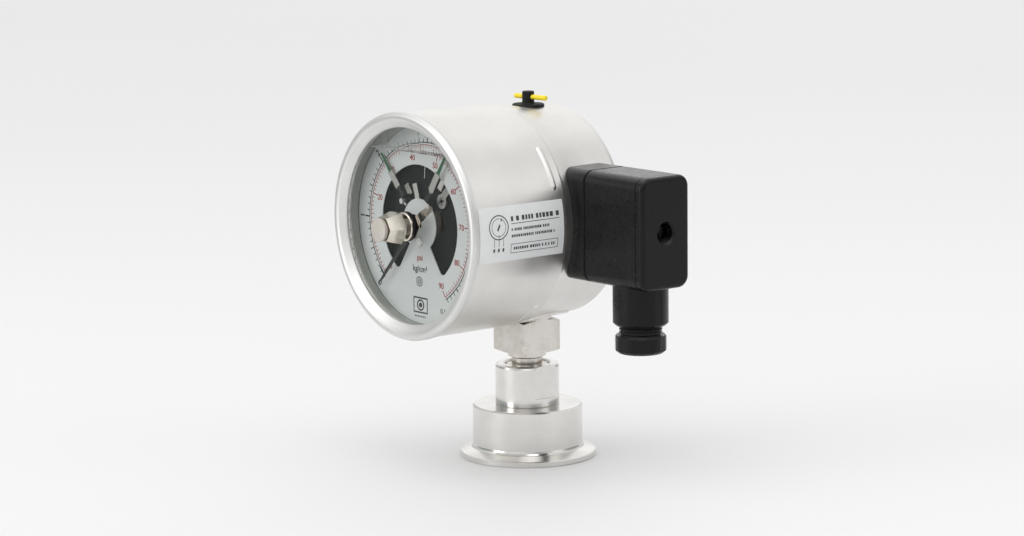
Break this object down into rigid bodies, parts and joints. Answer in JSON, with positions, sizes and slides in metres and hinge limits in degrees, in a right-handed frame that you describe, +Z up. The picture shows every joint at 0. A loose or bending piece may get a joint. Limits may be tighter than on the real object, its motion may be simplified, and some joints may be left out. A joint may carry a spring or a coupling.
{
  "type": "pressure switch",
  "caption": "Liquid-filled dial pressure switch with adjustable limit pointers, side plug connector, diaphragm seal and sanitary clamp ferrule.",
  "frame": {"origin": "centre of the clamp ferrule's sealing face", "axes": "+Z up along the stem, the dial faces -Y, the plug connector points to +X"},
  "size_m": [0.1496, 0.1184, 0.1714],
  "materials": {
    "steel_case": "fine satin",
    "steel_turned": "bright turned",
    "stem_steel": "machined",
    "diaphragm_steel": "smooth foil",
    "gasket_pale": "matte",
    "window": "clear",
    "ring_grey": "satin",
    "dial": "matte print ground",
    "screw_steel": "bright",
    "label": "printed film",
    "rubber_black": "matte",
    "pin_yellow": "smooth",
    "bronze": "drawn",
    "movement_brass": "stamped",
    "plate_steel": "stamped",
    "contact_plastic": "moulded",
    "terminal_plastic": "moulded",
    "pointer_black": "matte",
    "pointer_green": "matte, bare inner half",
    "contact_metal": "plated",
    "magnet": "ground",
    "white_plastic": "smooth",
    "knob_metal": "nickel",
    "spring_steel": "drawn wire"
  },
  "bodies": {
    "case": {"seal_body": "steel_turned", "diaphragm": "diaphragm_steel", "seal_adapter": "steel_turned", "stem_gasket": "gasket_pale", "socket_block": "stem_steel", "saddle_plate": "steel_case", "case_rear_cup": "steel_case", "case_drum": "steel_case", "bezel_ring": "steel_case", "window_pane": "window", "window_gasket": "gasket_pale", "spacer_ring": "ring_grey", "dial_plate": "dial", "dial_screw": "screw_steel", "label_plate": "label", "bourdon_tube": "bronze", "mounting_plate": "plate_steel", "movement_back_plate": "movement_brass", "movement_front_plate": "movement_brass", "movement_pillars": "movement_brass", "movement_screws": "screw_steel", "hairspring": "bronze", "contact_base_plate": "contact_plastic", "base_posts": "plate_steel", "lock_bush": "knob_metal", "lock_gasket": "rubber_black", "lock_nut": "knob_metal", "lock_spring": "spring_steel", "connector_base": "contact_plastic", "contact_blades": "contact_metal", "contact_wires": "white_plastic"},
    "pointer": {"pinion_arbor": "movement_brass", "main_pointer": "pointer_black"},
    "sector": {"sector_gear": "movement_brass"},
    "tube_end": {"tube_tip": "bronze"},
    "link": {"tip_link": "movement_brass"},
    "low_limit": {"low_carrier": "contact_plastic", "set_pointer_low": "pointer_green", "low_magnet": "magnet", "magnet_screw": "white_plastic"},
    "low_contact": {"low_contact_arm": "contact_metal"},
    "high_limit": {"high_carrier": "contact_plastic", "set_pointer_high": "pointer_green", "high_magnet": "magnet"},
    "high_contact": {"high_contact_arm": "contact_metal"},
    "lock_slider": {"thrust_washer": "knob_metal"},
    "lock": {"lock_knob": "knob_metal", "lock_spindle": "knob_metal", "driver_arm": "knob_metal"},
    "vent": {"vent_plug": "rubber_black"},
    "vent_lever": {"vent_pin": "pin_yellow"},
    "connector": {"connector_housing": "contact_plastic", "connector_gaskets": "rubber_black", "connector_cover": "contact_plastic", "terminal_block": "terminal_plastic", "terminal_screws": "screw_steel", "gland_seal": "rubber_black"},
    "centre_screw": {"retaining_screw": "screw_steel"},
    "gland_slider": {"gland_washer": "terminal_plastic"},
    "gland_cap": {"gland_nut": "contact_plastic"}
  },
  "joints": [
    {"name": "pointer_spin", "type": "hinge", "parent": "case", "child": "pointer", "pos_m": [0, 0, 0.1155], "axis": [0, 1, 0], "range_deg": [0, 272.6]},
    {"name": "sector_swing", "type": "hinge", "parent": "case", "child": "sector", "pos_m": [0.015, 0, 0.10258], "axis": [0, 1, 0], "range_deg": [-27.3, 0]},
    {"name": "tip_travel", "type": "slide", "parent": "case", "child": "tube_end", "axis": [0, 0, 1], "range_m": [0, 0.00366], "stiffness_N_per_m": 1, "springref_m": 0.0711, "deforming": ["bourdon_tube"]},
    {"name": "link_swing", "type": "hinge", "parent": "tube_end", "child": "link", "pos_m": [0.023, 0, 0.1145], "axis": [0, 1, 0], "range_deg": [-0.5, 5]},
    {"name": "low_limit_set", "type": "hinge", "parent": "case", "child": "low_limit", "pos_m": [0, 0, 0.1155], "axis": [0, 1, 0], "range_deg": [-94, 165]},
    {"name": "low_contact_move", "type": "hinge", "parent": "low_limit", "child": "low_contact", "pos_m": [-0.00234, 0, 0.12367], "axis": [0, 1, 0], "range_deg": [-8, 0]},
    {"name": "high_limit_set", "type": "hinge", "parent": "case", "child": "high_limit", "pos_m": [0, 0, 0.1155], "axis": [0, 1, 0], "range_deg": [-167.5, 97]},
    {"name": "high_contact_move", "type": "hinge", "parent": "high_limit", "child": "high_contact", "pos_m": [0.01243, 0, 0.12709], "axis": [0, 1, 0], "range_deg": [-5, 0]},
    {"name": "lock_push", "type": "slide", "parent": "case", "child": "lock_slider", "axis": [0, 1, 0], "range_m": [0, 0.0027], "stiffness_N_per_m": 1500, "springref_m": -0.001, "deforming": ["lock_spring"]},
    {"name": "lock_turn", "type": "hinge", "parent": "lock_slider", "child": "lock", "pos_m": [0, 0, 0.1155], "axis": [0, 1, 0], "range_deg": [-160, 50]},
    {"name": "vent_plug_pull", "type": "slide", "parent": "case", "child": "vent", "axis": [0, 0, 1], "range_m": [0, 0.008]},
    {"name": "vent_pin_pull", "type": "slide", "parent": "vent", "child": "vent_lever", "axis": [0.9914, 0.1305, 0], "range_m": [0, 0.022]},
    {"name": "connector_pull", "type": "slide", "parent": "case", "child": "connector", "axis": [1, 0, 0], "range_m": [0, 0.025]},
    {"name": "centre_screw_turn", "type": "hinge", "parent": "connector", "child": "centre_screw", "pos_m": [0, 0, 0.1157], "axis": [1, 0, 0], "range_deg": [0, 1800]},
    {"name": "gland_travel", "type": "slide", "parent": "connector", "child": "gland_slider", "axis": [0, 0, -1], "range_m": [0, 0.0045]},
    {"name": "gland_turn", "type": "hinge", "parent": "gland_slider", "child": "gland_cap", "pos_m": [0.0803, 0, 0.065], "axis": [0, 0, -1], "range_deg": [0, 1080]}
  ],
  "couplings": [
    {"joint": "sector_swing", "follows": "tip_travel", "rad_per_m": -129.9},
    {"joint": "pointer_spin", "follows": "tip_travel", "rad_per_m": 1299},
    {"joint": "link_swing", "follows": "tip_travel", "rad_per_m": 20.4},
    {"joint": "gland_turn", "follows": "gland_travel", "rad_per_m": 4188.8}
  ]
}
